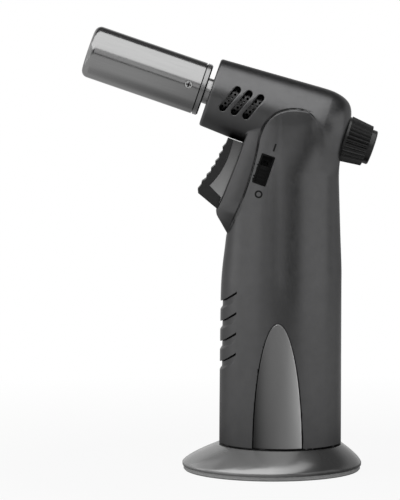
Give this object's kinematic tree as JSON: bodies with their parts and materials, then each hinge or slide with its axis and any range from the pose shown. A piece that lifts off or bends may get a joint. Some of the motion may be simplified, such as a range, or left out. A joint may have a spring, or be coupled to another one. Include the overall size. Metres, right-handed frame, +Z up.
{
  "type": "butane torch",
  "caption": "hand-held butane torch with a tank handle on a flared foot, tilted burner tube, pivoting ignition trigger, sliding lock and flame knob",
  "frame": {"origin": "on the handle's axis in the plane of the foot's underside, at the mouth of the filling port", "axes": "+Z up along the handle, the burner points towards -X and upwards, +Y to the torch's right seen from behind the knob"},
  "size_m": [0.1062, 0.0648, 0.1593],
  "materials": {
    "casing": "satin metallic grey lacquer",
    "inlay": "satin silver",
    "foot": "dark mirror chrome",
    "foot_plate": "pale satin",
    "burner": "finely brushed",
    "neck": "turned",
    "screen": "perforated sheet",
    "black_plastic": "moulded satin black",
    "trigger_metal": "satin silver",
    "screw": "bright plated",
    "brass": "turned",
    "rubber": "matte",
    "tank": "natural moulded",
    "ceramic": "white glazed",
    "wire": "red insulation",
    "igniter": "cream moulded"
  },
  "bodies": {
    "housing": {"casing_left": "casing", "casing_right": "casing", "inlay_left": "inlay", "inlay_right": "inlay", "casing_screws": "screw", "base": "foot", "base_plate": "foot_plate", "base_screws": "screw", "fuel_tank": "tank", "tank_cap": "tank", "tank_seal": "rubber", "fill_valve_body": "brass", "outlet_valve_body": "brass", "gas_hose": "rubber", "regulator_body": "brass", "gas_jet": "brass", "gland_nut": "brass", "spindle_seal": "rubber", "air_screen": "screen", "burner_neck": "neck", "burner_ring": "burner", "burner_tube": "burner", "burner_screws": "screw", "flame_holder": "brass", "electrode": "screw", "electrode_insulator": "ceramic", "ignition_wire": "wire", "piezo_body": "igniter", "trigger_pin": "screw", "lever_pin": "screw", "lock_plate": "black_plastic"},
    "trigger": {"trigger": "trigger_metal", "trigger_pad": "black_plastic"},
    "plunger": {"piezo_plunger": "black_plastic"},
    "valve_crank": {"valve_lever": "screw"},
    "outlet_stem": {"outlet_valve_stem": "brass"},
    "lock": {"lock_slider": "black_plastic"},
    "flame_knob": {"knob": "black_plastic", "knob_cap": "black_plastic", "needle_spindle": "screw"},
    "fill_stem": {"fill_valve_stem": "brass"}
  },
  "joints": [
    {"name": "trigger_pull", "type": "hinge", "parent": "housing", "child": "trigger", "pos_m": [-0.01277, 0, 0.11478], "axis": [0, -1, 0], "range_deg": [0, 14], "stiffness_Nm_per_rad": 0.6, "springref_deg": -2.86},
    {"name": "plunger_push", "type": "slide", "parent": "housing", "child": "plunger", "axis": [0.9455, 0, -0.3256], "range_m": [0, 0.005]},
    {"name": "crank_turn", "type": "hinge", "parent": "housing", "child": "valve_crank", "pos_m": [-0.009, 0, 0.0818], "axis": [0, 1, 0], "range_deg": [0, 22.5]},
    {"name": "outlet_press", "type": "slide", "parent": "housing", "child": "outlet_stem", "axis": [0, 0, -1], "range_m": [0, 0.0017]},
    {"name": "lock_slide", "type": "slide", "parent": "housing", "child": "lock", "axis": [0.3256, 0, 0.9455], "range_m": [0, 0.0034]},
    {"name": "flame_turn", "type": "hinge", "parent": "housing", "child": "flame_knob", "pos_m": [0.02647, 0, 0.11818], "axis": [0.9455, 0, -0.3256], "range_deg": [-120, 120]},
    {"name": "fill_press", "type": "slide", "parent": "housing", "child": "fill_stem", "axis": [0, 0, 1], "range_m": [0, 0.0015], "stiffness_N_per_m": 600, "springref_m": -0.001}
  ],
  "couplings": [
    {"joint": "plunger_push", "follows": "trigger_pull", "m_per_rad": 0.02005},
    {"joint": "crank_turn", "follows": "trigger_pull", "ratio": 1.571},
    {"joint": "outlet_press", "follows": "trigger_pull", "m_per_rad": 0.0064}
  ]
}
